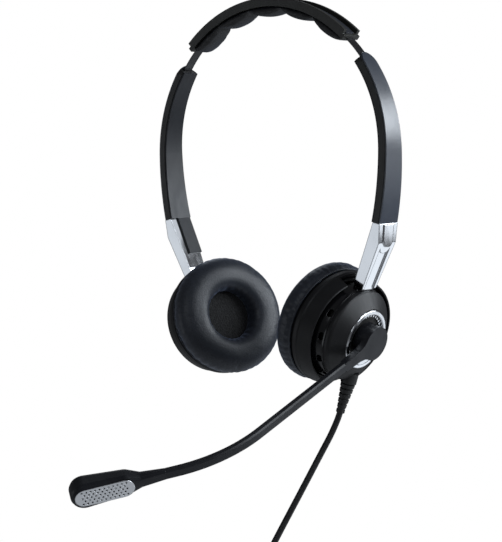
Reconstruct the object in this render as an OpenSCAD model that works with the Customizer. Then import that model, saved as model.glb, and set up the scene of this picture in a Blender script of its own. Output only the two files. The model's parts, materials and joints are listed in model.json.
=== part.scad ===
// Corded two-ear office headset with a rotating boom microphone.
// Millimetres. Wearer's left is +X, the wearer faces -Y, +Z is up.
// Origin: midway between the two ear cushions, at the height of their centres.

/* [Headband] */

// Radius of the spring band, to the middle of the strip
band_radius = 69.2; // [69.1:0.05:69.3]
// Width of the steel strip
band_width = 5; // [4:0.25:5.2]
// Thickness of the steel strip
band_thick = 0.8; // [0.6:0.05:0.9]
// Outer radius of the crown cover
crown_radius = 73; // [72.2:0.2:74]
// Width of the crown cover
crown_width = 12; // [11:0.5:14]
// How far the comfort lobes hang under the band
lobe_drop = 4.2; // [3:0.2:5]

/* [Arms] */

// Radius of the outer face of the arm's upper, round part
arm_radius = 70.9; // [70.8:0.05:71.4]
// Thickness of the outer cover
arm_cover_thick = 0.8; // [0.6:0.1:0.9]
// Thickness of the inner liner
arm_liner_thick = 0.9; // [0.7:0.1:1.1]
// Width of the arm at its lower end
arm_low_width = 14.9; // [14:0.1:16]
// Width of the arm at its upper end
arm_top_width = 10.3; // [9.8:0.1:11]

/* [Ear cups] */

// Radius of the cushion at its widest
cushion_radius = 28.6; // [28.4:0.1:29.4]
// Radius of the ear hole in the cushion
ear_hole_radius = 12; // [11:0.25:13]
// Tilt of the hub axis below the horizontal
hub_tilt = 17; // [16.5:0.1:17.5]
// Swivel of the left cup at rest
left_swivel = 8; // [6:1:10]
// Swivel of the right cup at rest
right_swivel = 17; // [15:1:17]

/* [Boom] */

// Angle of the boom below the horizontal at rest
boom_drop = 24.5; // [10:0.5:30]
// Length of the straight part of the boom
boom_straight = 79; // [70:1:90]
// Radius of the bend towards the mouth
boom_bend_radius = 72; // [60:1:90]
// Angle of the bend towards the mouth
boom_bend = 32.5; // [20:0.5:40]
// Width of the boom bar
boom_width = 4.8; // [4:0.1:5.2]
// Thickness of the boom bar
boom_thick = 3.2; // [2.6:0.1:3.6]

/* [Microphone] */

// Length of the microphone head
mic_length = 29; // [27:0.5:32]
// Width of the microphone head
mic_width = 12.5; // [11.5:0.25:14]
// Thickness of the microphone head
mic_thick = 9; // [8:0.1:9.6]

/* [Cord] */

// Diameter of the cord
cord_dia = 3; // [2.6:0.1:3.2]
// Radius of the jack plug's pin
jack_radius = 1.75; // [1.75:0.05:1.75]

/* [Hidden] */

$fn = 96;
// Facets of the children of a hull
hull_fn = 32;
// Thinnest slice that makes one cut run past another's face
skin = 0.01;

// Centre height of the circle that the band and the upper arms follow
band_height = 79;
// Offset from the arm's upper arc centre to its flatter lower arc centre
lower_shift = 84.1;
// Angles on the band circle, counted up from the horizontal
arm_top_angle = 38.5;
frame_top_angle = 37;
arm_low_angle = 12.7;
crown_angle = 47;
band_end_angle = 16.5;
stop_angle = 2.5;
// Band channel in the arm: radial and sideways clearance
channel_gap = 0.15;
// Cavity in which the end stop travels
stop_width = 7;
stop_thick = 1.3;
cavity_low_angle = 7;
cavity_top_angle = 24;

// Colours
black = [0.06, 0.06, 0.07];
satin = [0.22, 0.24, 0.28];
olive = [0.25, 0.25, 0.23];
steel = [0.55, 0.56, 0.58];
chrome = [0.85, 0.86, 0.88];
leather = [0.10, 0.11, 0.14];
grey = [0.16, 0.16, 0.17];
copper = [0.72, 0.45, 0.2];
gold = [0.83, 0.69, 0.37];

// ---------- helpers ----------

// Wedge of the XZ plane between two angles
module wedge(a0, a1, reach) {
  steps = 4;
  angles = [for (i = [0:steps]) a0 + (a1 - a0) * i / steps];
  polygon(concat([[0, 0]], [for (a = angles) reach * [cos(a), sin(a)]]));
}

// Part of a ring between two radii and two angles
module ring_sector(r_in, r_out, a0, a1) {
  intersection() {
    difference() {
      circle(r_out);
      circle(r_in);
    }
    wedge(a0, a1, 2 * r_out);
  }
}

// Stand a drawing of the XZ plane upright, spread evenly along Y
module upright(width) {
  rotate([90, 0, 0]) linear_extrude(width, center = true) children();
}

// Move to the circle of the band
module on_band_circle() {
  translate([0, 0, band_height]) children();
}

module for_side(side) {
  mirror([side < 0 ? 1 : 0, 0, 0]) children();
}

// Drawing of the arm between two radii, upper arc and flatter lower arc
module arm_outline(r_in, r_out, top_angle) {
  translate([0, band_height]) ring_sector(r_in, r_out, 0, top_angle);
  translate([-lower_shift, band_height])
    ring_sector(r_in + lower_shift, r_out + lower_shift, -arm_low_angle, 0);
}

// Prism that gives the arm its taper, narrow at the top and with a round end
arm_low_z = 40;
arm_top_z = band_height + arm_radius * sin(arm_top_angle);
module arm_taper(inset) {
  low = arm_low_width / 2 - inset;
  top = arm_top_width / 2 - inset;
  rotate([90, 0, 90]) linear_extrude(2 * arm_radius, center = true) {
    polygon([[-low, arm_low_z], [low, arm_low_z], [top, arm_top_z - top], [-top, arm_top_z - top]]);
    translate([0, arm_top_z - top]) circle(top);
  }
}

// ---------- headband ----------

band_in = band_radius - band_thick / 2;
band_out = band_radius + band_thick / 2;

module spring_band() color(steel) on_band_circle() upright(band_width)
  ring_sector(band_in, band_out, band_end_angle, 180 - band_end_angle);

module band_stops() color(steel) on_band_circle() for (side = [-1, 1]) for_side(side)
  upright(stop_width)
    ring_sector(
      band_radius - stop_thick / 2, band_radius + stop_thick / 2,
      band_end_angle - stop_angle, band_end_angle
    );

// Crown cover: a floor over the band with a raised rail along each edge
rail_width = 1.8;
cover_floor = 71;
cover_end = 1.2;
module crown_cover() color(olive) on_band_circle() difference() {
  union() {
    upright(crown_width) ring_sector(band_in, cover_floor, crown_angle, 180 - crown_angle);
    for (y = [-1, 1]) translate([0, y * (crown_width - rail_width) / 2, 0])
      upright(rail_width)
        ring_sector(cover_floor - 1, crown_radius, crown_angle + cover_end,
          180 - crown_angle - cover_end);
  }
  upright(band_width) ring_sector(band_in - 1, band_out, crown_angle - 1, 181 - crown_angle);
}

// Softer strip that lies on the cover's floor, off centre so a groove stays open
inlay_width = 5.6;
inlay_shift = -1;
module crown_inlay() color(satin) on_band_circle() translate([0, inlay_shift, 0])
  upright(inlay_width)
    ring_sector(cover_floor, cover_floor + 0.8, crown_angle + 1, 179 - crown_angle);

// Comfort pad: five lobes on a thin base, under the band
lobe_count = 5;
lobe_radius = 16;
lobe_pitch = (180 - 2 * crown_angle) / lobe_count;
pad_base = 1.4;
pad_width = 11.4;
module crown_pad() color(black) on_band_circle() upright(pad_width) {
  ring_sector(band_in - pad_base, band_in, crown_angle + 0.5, 179.5 - crown_angle);
  for (i = [0:lobe_count - 1]) rotate(crown_angle + (i + 0.5) * lobe_pitch)
    intersection() {
      translate([band_in - lobe_drop + lobe_radius, 0]) circle(lobe_radius);
      circle(band_in - pad_base / 2);
    }
}

// ---------- arms ----------

frame_out = arm_radius - arm_cover_thick;
arm_thick = 4.7;
liner_in = arm_radius - arm_thick;
frame_in = liner_in + arm_liner_thick;
seam_inset = 0.3;

// Yoke tang: the tongue of the yoke that sits in the arm
tang_in = 67.9;
tang_out = 69.4;
tang_width = 9;
tang_angle = 4.2;

module tang_outline(grow) {
  translate([-lower_shift, band_height])
    ring_sector(tang_in + lower_shift - grow, tang_out + lower_shift + grow,
      -arm_low_angle - skin, -arm_low_angle + tang_angle + grow / 4);
}

module arm_frame(side) for_side(side) difference() {
  intersection() {
    upright(2 * arm_low_width) arm_outline(frame_in, frame_out, frame_top_angle);
    arm_taper(0);
  }
  // channel for the band
  on_band_circle() upright(band_width + 2 * channel_gap)
    ring_sector(band_in - channel_gap, band_out + channel_gap, cavity_low_angle, arm_top_angle + 2);
  // wider cavity for the end stop
  on_band_circle() upright(stop_width + 4 * channel_gap)
    ring_sector(band_radius - stop_thick / 2 - channel_gap, band_radius + stop_thick / 2 + channel_gap,
      cavity_low_angle, cavity_top_angle);
  // pocket for the yoke's tang
  upright(tang_width + 0.1) tang_outline(0.05);
}

module arm_cover(side) for_side(side) intersection() {
  upright(2 * arm_low_width) arm_outline(frame_out, arm_radius, arm_top_angle + 1);
  arm_taper(seam_inset);
}

// The liner runs on below the arm as a tongue on the yoke's inner face
tongue_front = -2.4;
tongue_back = 6.4;
tongue_lift = 0.05;
module arm_liner(side) for_side(side) {
  intersection() {
    upright(2 * arm_low_width) arm_outline(liner_in, frame_in, frame_top_angle);
    arm_taper(seam_inset);
  }
  down = tongue_length * [-sin(yoke_slope_in), -cos(yoke_slope_in)];
  inward = arm_liner_thick * [-cos(yoke_slope_in), sin(yoke_slope_in)];
  translate([0, (tongue_front + tongue_back) / 2, 0]) upright(tongue_back - tongue_front) polygon([
    arm_end(frame_in, tongue_lift), yoke_top_in, yoke_top_in + down, yoke_top_in + down + inward,
    arm_end(liner_in), arm_end(liner_in, tongue_lift)
  ]);
}

// ---------- yoke ----------

// Point on the ray on which the arm ends
function arm_end(radius, lift = 0) = [
  (radius + lower_shift) * cos(arm_low_angle - lift) - lower_shift,
  band_height - (radius + lower_shift) * sin(arm_low_angle - lift)
];

// Corners of the yoke seen from the front
yoke_top_out = arm_end(arm_radius);
yoke_top_in = arm_end(frame_in);
yoke_kink = [66.2, 36];
yoke_low_out = [55.5, 14.5];
yoke_low_in = [52.5, 21];
tongue_length = 19.5;
yoke_slope_in = atan2(yoke_top_in[0] - yoke_low_in[0], yoke_top_in[1] - yoke_low_in[1]);
yoke_slope_out = atan2(yoke_kink[0] - yoke_low_out[0], yoke_kink[1] - yoke_low_out[1]);
yoke_slope_top = atan2(yoke_top_out[0] - yoke_kink[0], yoke_top_out[1] - yoke_kink[1]);

// Point of the hub frame, given as height above the hub centre and distance outwards
cup_x = 38.3;
cup_z = -4.8;
function hub_point(up, out) = [
  cup_x + out * cos(hub_tilt) + up * sin(hub_tilt),
  cup_z - out * sin(hub_tilt) + up * cos(hub_tilt)
];

foot_low = 15;
foot_in = 5.6;
foot_out = 8.15;
cap_radius = 22.3;
yoke_channel_deep = 0.8;
yoke_tongue_width = 7.2;
yoke_tongue_rise = 0.5;
yoke_tongue_reach = 2;

module yoke(side) color(chrome) for_side(side) {
  difference() {
    intersection() {
      upright(2 * arm_low_width) polygon([
        yoke_top_out, yoke_kink, yoke_low_out,
        hub_point(cap_radius + 0.2, 10), hub_point(cap_radius + 0.2, foot_out),
        hub_point(foot_low, foot_out), hub_point(foot_low, foot_in),
        hub_point(cap_radius, foot_in), yoke_low_in, yoke_top_in
      ]);
      yoke_taper();
    }
    // shallow channel down the outer face, its upper end round the tongue
    translate([yoke_kink[0], 0, yoke_kink[1]]) rotate([0, yoke_slope_out, 0]) difference() {
      translate([-yoke_channel_deep, -yoke_channel_width / 2, -30])
        cube([5, yoke_channel_width, 28.5]);
      translate([0, 0, -1.5]) rotate([0, 90, 0])
        cylinder(h = 20, r = yoke_channel_width / 2 + 0.2, center = true);
    }
    yoke_screw_places() cylinder(h = 8, r = screw_radius, center = true);
  }
  upright(tang_width) tang_outline(0);
  yoke_tongue();
}
yoke_channel_width = 7.6;

// Raised tongue on the outer face, just under the arm; its round end hangs over the channel
module yoke_tongue() {
  r = yoke_tongue_width / 2;
  rise = yoke_top_out[1] - yoke_kink[1] - 0.4;
  translate([yoke_kink[0], 0, yoke_kink[1]]) rotate([0, yoke_slope_top, 0])
    rotate([90, 0, 90]) translate([0, 0, -0.6]) linear_extrude(0.6 + yoke_tongue_rise) {
      translate([0, r - yoke_tongue_reach]) circle(r);
      translate([-r, r - yoke_tongue_reach]) square([2 * r, rise - r + yoke_tongue_reach]);
    }
}

// Prism that narrows the yoke from the arm to the hub
module yoke_taper() {
  rotate([90, 0, 90]) linear_extrude(2 * arm_radius, center = true)
    polygon([[-4.9, 0], [4.9, 0], [5.3, 14], [7.3, 46.5], [-7.3, 46.5], [-5.3, 14]]);
}

screw_up = 17.5;
screw_y = 2.8;
screw_radius = 1.05;
module yoke_screw_places() {
  for (y = [-screw_y, screw_y]) in_hub() translate([-screw_up, y, foot_out]) children();
}

module yoke_screws(side) color(steel) for_side(side) yoke_screw_places() {
  translate([0, 0, -3]) cylinder(h = 3, r = screw_radius);
  cylinder(h = 0.9, r = 1.8);
}

// ---------- hub ----------

// The hub frame: +Z outwards along the hub axis, +X down, +Y backwards
module in_hub() {
  translate([cup_x, 0, cup_z]) rotate([0, 90 + hub_tilt, 0]) children();
}
module hub_side(side) {
  for_side(side) in_hub() children();
}
// The cup frame turns with the swivel
module cup_side(side) {
  hub_side(side) rotate([side > 0 ? left_swivel : -right_swivel, 0, 0]) children();
}

housing_radius = 20;
housing_low = 4.5;
bore_radius = 3.55;
relief_y = 3.2;
relief_height = 9.5;
relief_start = 19.5;
relief_length = 20.2;
relief_turn = -3.7;
relief_radius = 3.85;

// Space taken by the foot of the yoke
module foot_space(grow) {
  translate([-cap_radius - 8, -5.35 - grow, foot_in - 0.05 - grow])
    cube([cap_radius + 8 - foot_low + 0.05 + grow, 10.7 + 2 * grow, 6]);
}

// Space taken by the strain relief
module relief_space(grow) {
  translate([relief_start - 1, relief_y, relief_height]) rotate([0, 90, relief_turn])
    cylinder(h = relief_length, r = relief_radius + grow);
}

module hub_housing(side) color(black) hub_side(side) difference() {
  translate([0, 0, housing_low]) cylinder(h = foot_out - housing_low, r = housing_radius);
  foot_space(0);
  for (y = [-screw_y, screw_y]) translate([-screw_up, y, 5]) cylinder(h = 4, r = screw_radius);
  if (side > 0) {
    translate([0, 0, housing_low - 1]) cylinder(h = 10, r = bore_radius);
    translate([0, 0, housing_low - 1]) cylinder(h = 2, r = 5.4);
    relief_space(0.1);
  }
}

cap_low = 8.2;
ring_radius = 14.5;
module hub_cap(side) color(grey) hub_side(side) difference() {
  rotate_extrude() {
    if (side > 0) {
      polygon([
        [21.1, cap_low], [cap_radius, cap_low], [cap_radius, 9.7], [22.05, 10.5], [21.5, 11.1],
        [14.7, 15.3], [14.6, 15.2], [14.6, 13.2], [12.15, 13.2], [12.15, 12.3], [3.7, 12.3],
        [3.7, 11.5], [14, 11.5], [20.5, 9.7], [21.1, 9.2]
      ]);
    } else {
      polygon([
        [21.1, cap_low], [cap_radius, cap_low], [cap_radius, 9.7], [22.05, 10.5], [21.5, 11.1],
        [14, 14.6], [8, 16], [0, 16.4], [0, 15.2], [8, 14.8], [14, 13.4], [20.5, 9.7], [21.1, 9.2]
      ]);
    }
  }
  if (side > 0) relief_space(0.1);
}

bowl_radius = 23.7;
bowl_inner = 22.6;
bowl_low = 2.2;
vent_angles = [-56, -27, 2, 31];
vent_lift = 15;
vent_reach = 0.7;
vent_radius = 1.3;
lug_low = -1.4;
pin_radius = 0.8;
pin_bore = 0.86;
module hub_bowl(side) color(black) hub_side(side) difference() {
  intersection() {
    union() {
      difference() {
        sphere(bowl_radius);
        sphere(bowl_inner);
      }
      translate([0, 0, 7.3]) difference() {
        cylinder(h = cap_low - 7.3, r = bowl_inner);
        translate([0, 0, -1]) cylinder(h = 4, r = housing_radius);
      }
    }
    union() {
      translate([0, 0, bowl_low]) cylinder(h = cap_low - bowl_low, r = 30);
      // lugs that carry the swivel pins, above and below
      translate([-30, -3.2, lug_low]) cube([60, 6.4, 8]);
    }
  }
  foot_space(0.05);
  if (side > 0) relief_space(0.1);
  // bores of the swivel pins
  rotate([0, 90, 0]) cylinder(h = 60, r = pin_bore, center = true);
  // long vent holes, four in front and four behind
  for (back = [0, 1]) for (a = vent_angles)
    mirror([0, back, 0]) rotate(-90 - a) rotate([0, 90 - vent_lift, 0])
      for (k = [-1, 1]) translate([0, k * vent_reach, 15]) cylinder(h = 12, r = vent_radius);
}

// ---------- gimbal ----------

gimbal_in = 24.1;
gimbal_out = 25.1;
gimbal_half = 1.5;
module gimbal_ring(side) color(steel) cup_side(side) {
  difference() {
    cylinder(h = 2 * gimbal_half, r = gimbal_out, center = true);
    cylinder(h = 4 * gimbal_half, r = gimbal_in, center = true);
  }
  // stub pins: inwards to the hub, above and below; outwards to the dish, front and back
  for (s = [-1, 1]) {
    rotate([0, s * 90, 0]) translate([0, 0, bowl_inner - 0.3])
      cylinder(h = gimbal_in - bowl_inner + 0.8, r = pin_radius);
    rotate([s * 90, 0, 0]) translate([0, 0, gimbal_in + 0.5])
      cylinder(h = 2.3, r = pin_radius);
  }
}

// ---------- ear cup ----------

top_notch = [-9.2, 9.2];
bottom_notch = [-10, 12.5];
notch_low = 0.6;
dish_rim = 27.9;
skirt_low = -8.4;
skirt_out = 26.9;
skirt_in = 26;
seam_height = -5;
module dish(side) color(grey) cup_side(side) difference() {
  union() {
    rotate_extrude() polygon([
      [skirt_in, skirt_low], [skirt_out, skirt_low], [skirt_out, -2.9], [27.5, -2.9],
      [dish_rim, -2.5], [dish_rim, -0.5], [27.5, 0.2], [25.8, 7.1], [25.4, 7.3], [24.95, 7.1],
      [24.9, 6.4], [skirt_in, 0.3]
    ]);
    // bosses for the tilt pins, front and back
    intersection() {
      rotate([90, 0, 0]) cylinder(h = 2 * skirt_in + 1, r = 2, center = true);
      cylinder(h = 6, r = skirt_in + 0.2, center = true);
    }
  }
  sphere(25.4);
  rotate([90, 0, 0]) cylinder(h = 54, r = pin_bore, center = true);
  translate([-42, top_notch[0], notch_low]) cube([24, top_notch[1] - top_notch[0], 10]);
  translate([18, bottom_notch[0], notch_low]) cube([24, bottom_notch[1] - bottom_notch[0], 10]);
}

baffle_top = -7.6;
well_top = -5.4;
well_in = 13.6;
driver_radius = 14.6;
module baffle(side) color(black) cup_side(side) difference() {
  union() {
    translate([0, 0, skirt_low]) cylinder(h = baffle_top - skirt_low, r = skirt_in);
    translate([0, 0, skirt_low]) cylinder(h = well_top - skirt_low, r = driver_radius);
  }
  translate([0, 0, skirt_low - 1]) cylinder(h = 6, r = well_in);
}

module driver_frame(side) color(steel) cup_side(side) difference() {
  translate([0, 0, well_top]) cylinder(h = 2.8, r = driver_radius);
  translate([0, 0, well_top - 1]) cylinder(h = 3, r = well_in);
}

module driver_magnet(side) color(steel) cup_side(side)
  translate([0, 0, well_top + 2.8]) cylinder(h = 2.7, r = 7.4);

module diaphragm(side) color(copper) cup_side(side)
  translate([0, 0, well_top + 0.2]) cylinder(h = 0.3, r = well_in);

ring_low = -9.2;
module cushion_ring(side) color(black) cup_side(side) difference() {
  translate([0, 0, ring_low]) cylinder(h = skirt_low - ring_low, r = skirt_out);
  translate([0, 0, ring_low - 1]) cylinder(h = 3, r = 16);
}

module ear_mesh(side) color(black) cup_side(side)
  translate([0, 0, well_top - 0.8]) cylinder(h = 0.6, r = well_in);

cushion_face = -16;
inner_roll = 5.2;
outer_roll = 6;
module ear_cushion(side) color(leather) cup_side(side) difference() {
  rotate_extrude() {
    intersection() {
      union() {
        // roll around the ear hole
        translate([ear_hole_radius + inner_roll, cushion_face + inner_roll]) circle(inner_roll);
        // outer roll
        translate([cushion_radius - outer_roll, cushion_face + outer_roll]) circle(outer_roll);
        polygon([
          [ear_hole_radius + inner_roll, cushion_face], [cushion_radius - outer_roll, cushion_face],
          [cushion_radius, cushion_face + outer_roll], [cushion_radius - 0.3, seam_height - 0.5],
          [cushion_radius - 0.8, seam_height], [skirt_out + 0.05, seam_height],
          [ear_hole_radius + inner_roll, ring_low]
        ]);
      }
      translate([ear_hole_radius, cushion_face - 1]) square([30, seam_height - cushion_face + 1]);
    }
  }
  translate([0, 0, ring_low]) cylinder(h = 10, r = skirt_out + 0.05);
}

// ---------- boom joint ----------

module chrome_ring() color(chrome) hub_side(1) {
  rotate_extrude() polygon([
    [12.2, 13.2], [ring_radius, 13.2], [ring_radius, 15.4], [14.1, 15.9], [12.6, 16], [12.2, 15.7]
  ]);
  // wider crescent at the bottom
  intersection() {
    translate([0, 0, 15]) cylinder(h = 0.9, r = ring_radius - 0.5);
    translate([10, -20, 14]) cube([20, 40, 4]);
  }
}

fin_count = 36;
module detent_ring() color(satin) hub_side(1) difference() {
  translate([0, 0, 12.3]) cylinder(h = 2.5, r = 12.1);
  translate([0, 0, 12]) cylinder(h = 4, r = 10.8);
  for (i = [0:fin_count - 1]) rotate(i * 360 / fin_count)
    translate([10, -0.45, 13]) cube([4, 0.9, 3]);
}

shaft_radius = 3.5;
clip_groove = 2.9;
// Distance of the middle of the boom from the hub, and the top of its root
bar_height = 20.2;
pad_top = bar_height + boom_thick / 2;
root_radius = 8.2;
module boom_disc() color(black) hub_side(1) rotate_extrude() polygon([
  [0, 4.5], [shaft_radius, 4.5], [shaft_radius, 4.65], [clip_groove, 4.65], [clip_groove, 5.35],
  [shaft_radius, 5.35], [shaft_radius, 12.4], [10.6, 12.4], [10.6, 13.9], [root_radius, 13.6],
  [0, 13.6]
]);

module boom_clip() color(steel) hub_side(1) difference() {
  translate([0, 0, 4.7]) cylinder(h = 0.6, r = 4.9);
  translate([0, 0, 4]) cylinder(h = 3, r = clip_groove + 0.02);
  translate([0, -1.6, 4]) cube([8, 3.2, 3]);
}

// The boom frame: +X along the boom, +Z outwards, at the middle of the bar
module in_boom() {
  hub_side(1) rotate(-90 + boom_drop) translate([0, 0, bar_height]) children();
}
// Frame at the end of the bend
module in_boom_tip() {
  in_boom() translate([boom_straight, 0, -boom_bend_radius]) rotate([0, boom_bend, 0])
    translate([0, 0, boom_bend_radius]) children();
}

bar_edge = 0.7;
module bar_section() {
  w = boom_width / 2;
  t = boom_thick / 2;
  polygon([
    [-w, -t + bar_edge], [-w + bar_edge, -t], [w - bar_edge, -t], [w, -t + bar_edge],
    [w, t - bar_edge], [w - bar_edge, t], [-w + bar_edge, t], [-w, t - bar_edge]
  ]);
}

tip_straight = 5.5;
// Overlap of the bar's straight ends with its bend
bar_lap = 0.05;
module boom_arm() color(satin) {
  hub_side(1) rotate_extrude() polygon([
    [0, 13.6], [root_radius - 0.6, 13.6], [root_radius, 14.4], [root_radius, pad_top], [0, pad_top]
  ]);
  // paddle where the bar leaves the root
  in_boom() translate([0, 0, -boom_thick / 2]) linear_extrude(boom_thick)
    polygon([
      [0, -6], [0, 6], [5.5, 5.6], [8.5, 3.7], [12, 2.8], [22, boom_width / 2],
      [22, -boom_width / 2], [12, -2.8], [8.5, -3.7], [5.5, -5.6]
    ]);
  in_boom() translate([20, 0, 0]) rotate([90, 0, 90])
    linear_extrude(boom_straight - 20 + bar_lap) bar_section();
  in_boom() translate([boom_straight, 0, -boom_bend_radius]) rotate([-90, 0, 0])
    rotate([0, 0, -90]) rotate_extrude(angle = boom_bend)
      translate([boom_bend_radius, 0]) rotate(90) bar_section();
  in_boom_tip() translate([-bar_lap, 0, 0]) rotate([90, 0, 90])
    linear_extrude(tip_straight + bar_lap) bar_section();
}

// ---------- microphone ----------

mic_start = 17.5;
mic_end_r = mic_width / 2;
mic_neck = 12;
mic_shift = -1.2;
grille_length = 25.5;
grille_width = 8.8;
grille_middle = mic_start + mic_length - 1.6 - grille_length / 2;
hole_pitch = 1.9;
hole_row = 1.5;
hole_radius = 0.38;

// Rounded disc used to build the head
module soft_disc(radius, height) {
  rotate_extrude($fn = hull_fn) polygon([
    [0, -height / 2], [radius - 1.6, -height / 2], [radius - 0.5, -height / 2 + 0.8],
    [radius, -height / 2 + 2], [radius, height / 2 - 2], [radius - 0.5, height / 2 - 0.8],
    [radius - 1.6, height / 2], [0, height / 2]
  ]);
}

module grille_outline(grow) {
  half = (grille_length - grille_width) / 2;
  translate([grille_middle, 0]) {
    for (s = [-1, 1]) translate([s * half, 0]) circle(grille_width / 2 + grow);
    square([2 * half, grille_width + 2 * grow], center = true);
  }
}

// Discs where the head narrows: at the back of the grille, and where the neck begins
module mic_waist() {
  translate([mic_start + 6, 0, 0.7 * mic_shift]) soft_disc(mic_end_r - 0.9, mic_thick - 1.6);
}
module mic_throat() {
  translate([mic_start - 0.5, 0, 0.2 * mic_shift]) soft_disc(3.5, 5);
}
module mic_housing() color(grey) in_boom_tip() difference() {
  union() {
    hull() {
      translate([mic_start + mic_length - mic_end_r, 0, mic_shift]) soft_disc(mic_end_r, mic_thick);
      mic_waist();
    }
    hull() {
      mic_waist();
      mic_throat();
    }
    hull() {
      mic_throat();
      translate([mic_start - mic_neck, 0, 0]) rotate([90, 0, 90]) linear_extrude(0.5) bar_section();
    }
  }
  // recess of the grille
  translate([0, 0, mic_shift + mic_thick / 2 - 1]) linear_extrude(3) grille_outline(0.05);
  // chamber of the capsule
  translate([mic_start + 18, 0, mic_shift]) cylinder(h = 10, r = 3.2);
}

module mic_grille() color(chrome) in_boom_tip() difference() {
  translate([0, 0, mic_shift + mic_thick / 2 - 0.7]) linear_extrude(0.6) grille_outline(0);
  for (j = [-2:2]) for (i = [-5:5 - abs(j) % 2])
    translate([grille_middle + (i + (abs(j) % 2) / 2) * hole_pitch, j * hole_row, 0])
      cylinder(h = 10, r = hole_radius, $fn = 24);
}

module mic_foam() color(black) in_boom_tip()
  translate([0, 0, mic_shift + mic_thick / 2 - 1]) linear_extrude(0.3) grille_outline(-0.3);

module mic_capsule() color(gold) in_boom_tip()
  translate([mic_start + 18, 0, mic_shift]) cylinder(h = 2.7, r = 3.2);

// ---------- inside the hub ----------

module wiring_board() color([0.05, 0.3, 0.15]) hub_side(1) difference() {
  translate([0, 0, foot_out]) cylinder(h = 1, r = 14);
  translate([0, 0, foot_out - 1]) cylinder(h = 3, r = 5);
}

// ---------- strain relief ----------

rib_count = 5;
rib_pitch = 2.6;
relief_end_radius = 2.1;
module strain_relief() color(black) hub_side(1)
  translate([relief_start, relief_y, relief_height]) rotate([0, 90, relief_turn]) difference() {
    union() {
      cylinder(h = 5, r = relief_radius);
      translate([0, 0, 5]) cylinder(h = relief_length - 5, r1 = 2.6, r2 = relief_end_radius - 0.3);
      for (i = [0:rib_count - 1]) {
        r = 3.5 - i * 0.3;
        translate([0, 0, 5.6 + i * rib_pitch]) cylinder(h = 1.6, r1 = r, r2 = r - 0.1);
      }
      translate([0, 0, relief_length - 1.4]) cylinder(h = 1.4, r = relief_end_radius);
    }
    translate([0, 0, relief_length - 1]) cylinder(h = 2, r = cord_dia / 2);
  }

// ---------- cord ----------

cord_radius = cord_dia / 2;
cord_sides = 8;
rings_per_step = 3;

// End of the strain relief, in the part's own axes
relief_tip_x = relief_start + (relief_length - 1) * cos(relief_turn);
relief_tip_y = relief_y + (relief_length - 1) * sin(relief_turn);
relief_tip = [
  cup_x + relief_height * cos(hub_tilt) - relief_tip_x * sin(hub_tilt),
  relief_tip_y,
  cup_z - relief_height * sin(hub_tilt) - relief_tip_x * cos(hub_tilt)
];

// Places that the free cord passes on its way down to the hank
cord_route = [
  relief_tip, [34.6, 1, -49.5], [32.6, -1.8, -56.5], [30, -6.3, -65], [24.8, -15.3, -82],
  [19, -25, -100.5], [16.5, -29.3, -109], [14.5, -32.5, -118], [14, -34, -126], [14, -34, -133]
];

// Smooth curve through the route
function smooth(a, b, c, d, t) = 0.5 * (
  2 * b + (c - a) * t + (2 * a - 5 * b + 4 * c - d) * t * t
  + (3 * b - a - 3 * c + d) * t * t * t
);
function at(route, i) = route[max(0, min(len(route) - 1, i))];
function curve(route) = concat(
  [for (i = [0:len(route) - 2]) for (k = [0:rings_per_step - 1])
    smooth(at(route, i - 1), at(route, i), at(route, i + 1), at(route, i + 2), k / rings_per_step)],
  [route[len(route) - 1]]
);
function unit(v) = v / norm(v);
function heading(p, i) = unit(p[min(len(p) - 1, i + 1)] - p[max(0, i - 1)]);
function ring_at(p, i) = let (
  t = heading(p, i), u = unit(cross(t, [1, 0, 0])), v = cross(t, u)
) [for (k = [0:cord_sides - 1])
  p[i] + cord_radius * (cos(k * 360 / cord_sides) * u + sin(k * 360 / cord_sides) * v)];

module tube(route) {
  p = curve(route);
  n = len(p);
  points = [for (i = [0:n - 1]) each ring_at(p, i)];
  sides = [for (i = [0:n - 2]) for (k = [0:cord_sides - 1]) let (m = (k + 1) % cord_sides)
    [i * cord_sides + k, (i + 1) * cord_sides + k, (i + 1) * cord_sides + m, i * cord_sides + m]];
  first = [[for (k = [0:cord_sides - 1]) k]];
  last = [[for (k = [cord_sides - 1:-1:0]) (n - 1) * cord_sides + k]];
  polyhedron(points = points, faces = concat(first, sides, last), convexity = 4);
}

module cord() color(black) tube(cord_route);

// The rest of the cord is folded into a hank and tied
hank_x = 14;
hank_y = -34;
hank_top = -132.5;
hank_length = 55.5;
hank_width = 21;
hank_thick = 21;
module hank_outline() {
  r = hank_width / 2;
  for (z = [hank_top - r, hank_top - hank_length + r]) translate([0, z]) circle(r);
  translate([-r, hank_top - hank_length + r]) square([hank_width, hank_length - 2 * r]);
}
module cord_hank() color(black) translate([hank_x, hank_y, 0])
  rotate([90, 0, 90]) linear_extrude(hank_thick, center = true) hank_outline();

tie_height = 5;
tie_thick = 1;
module hank_tie() color(grey) translate([hank_x, hank_y, hank_top - hank_length / 2]) difference() {
  cube([hank_thick + 2 * tie_thick, hank_width + 2 * tie_thick, tie_height], center = true);
  cube([hank_thick, hank_width, 2 * tie_height], center = true);
}

// Short free end of the cord and its plug
tail_length = 14;
plug_top = hank_top - hank_length - tail_length;
module cord_tail() color(black) translate([hank_x, hank_y, plug_top])
  cylinder(h = tail_length + 0.5, r = cord_radius);

plug_length = 26;
jack_root = 1.4;
module plug_body() color(black) translate([hank_x, hank_y, plug_top]) mirror([0, 0, 1])
  difference() {
    rotate_extrude() polygon([
      [0, 0], [2.1, 0], [2.9, 8], [2.9, 9], [3.9, 10], [4.1, 11], [4.1, plug_length - 1],
      [3.6, plug_length], [0, plug_length]
    ]);
    translate([0, 0, plug_length - 3]) cylinder(h = 4, r = jack_root);
  }

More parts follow.
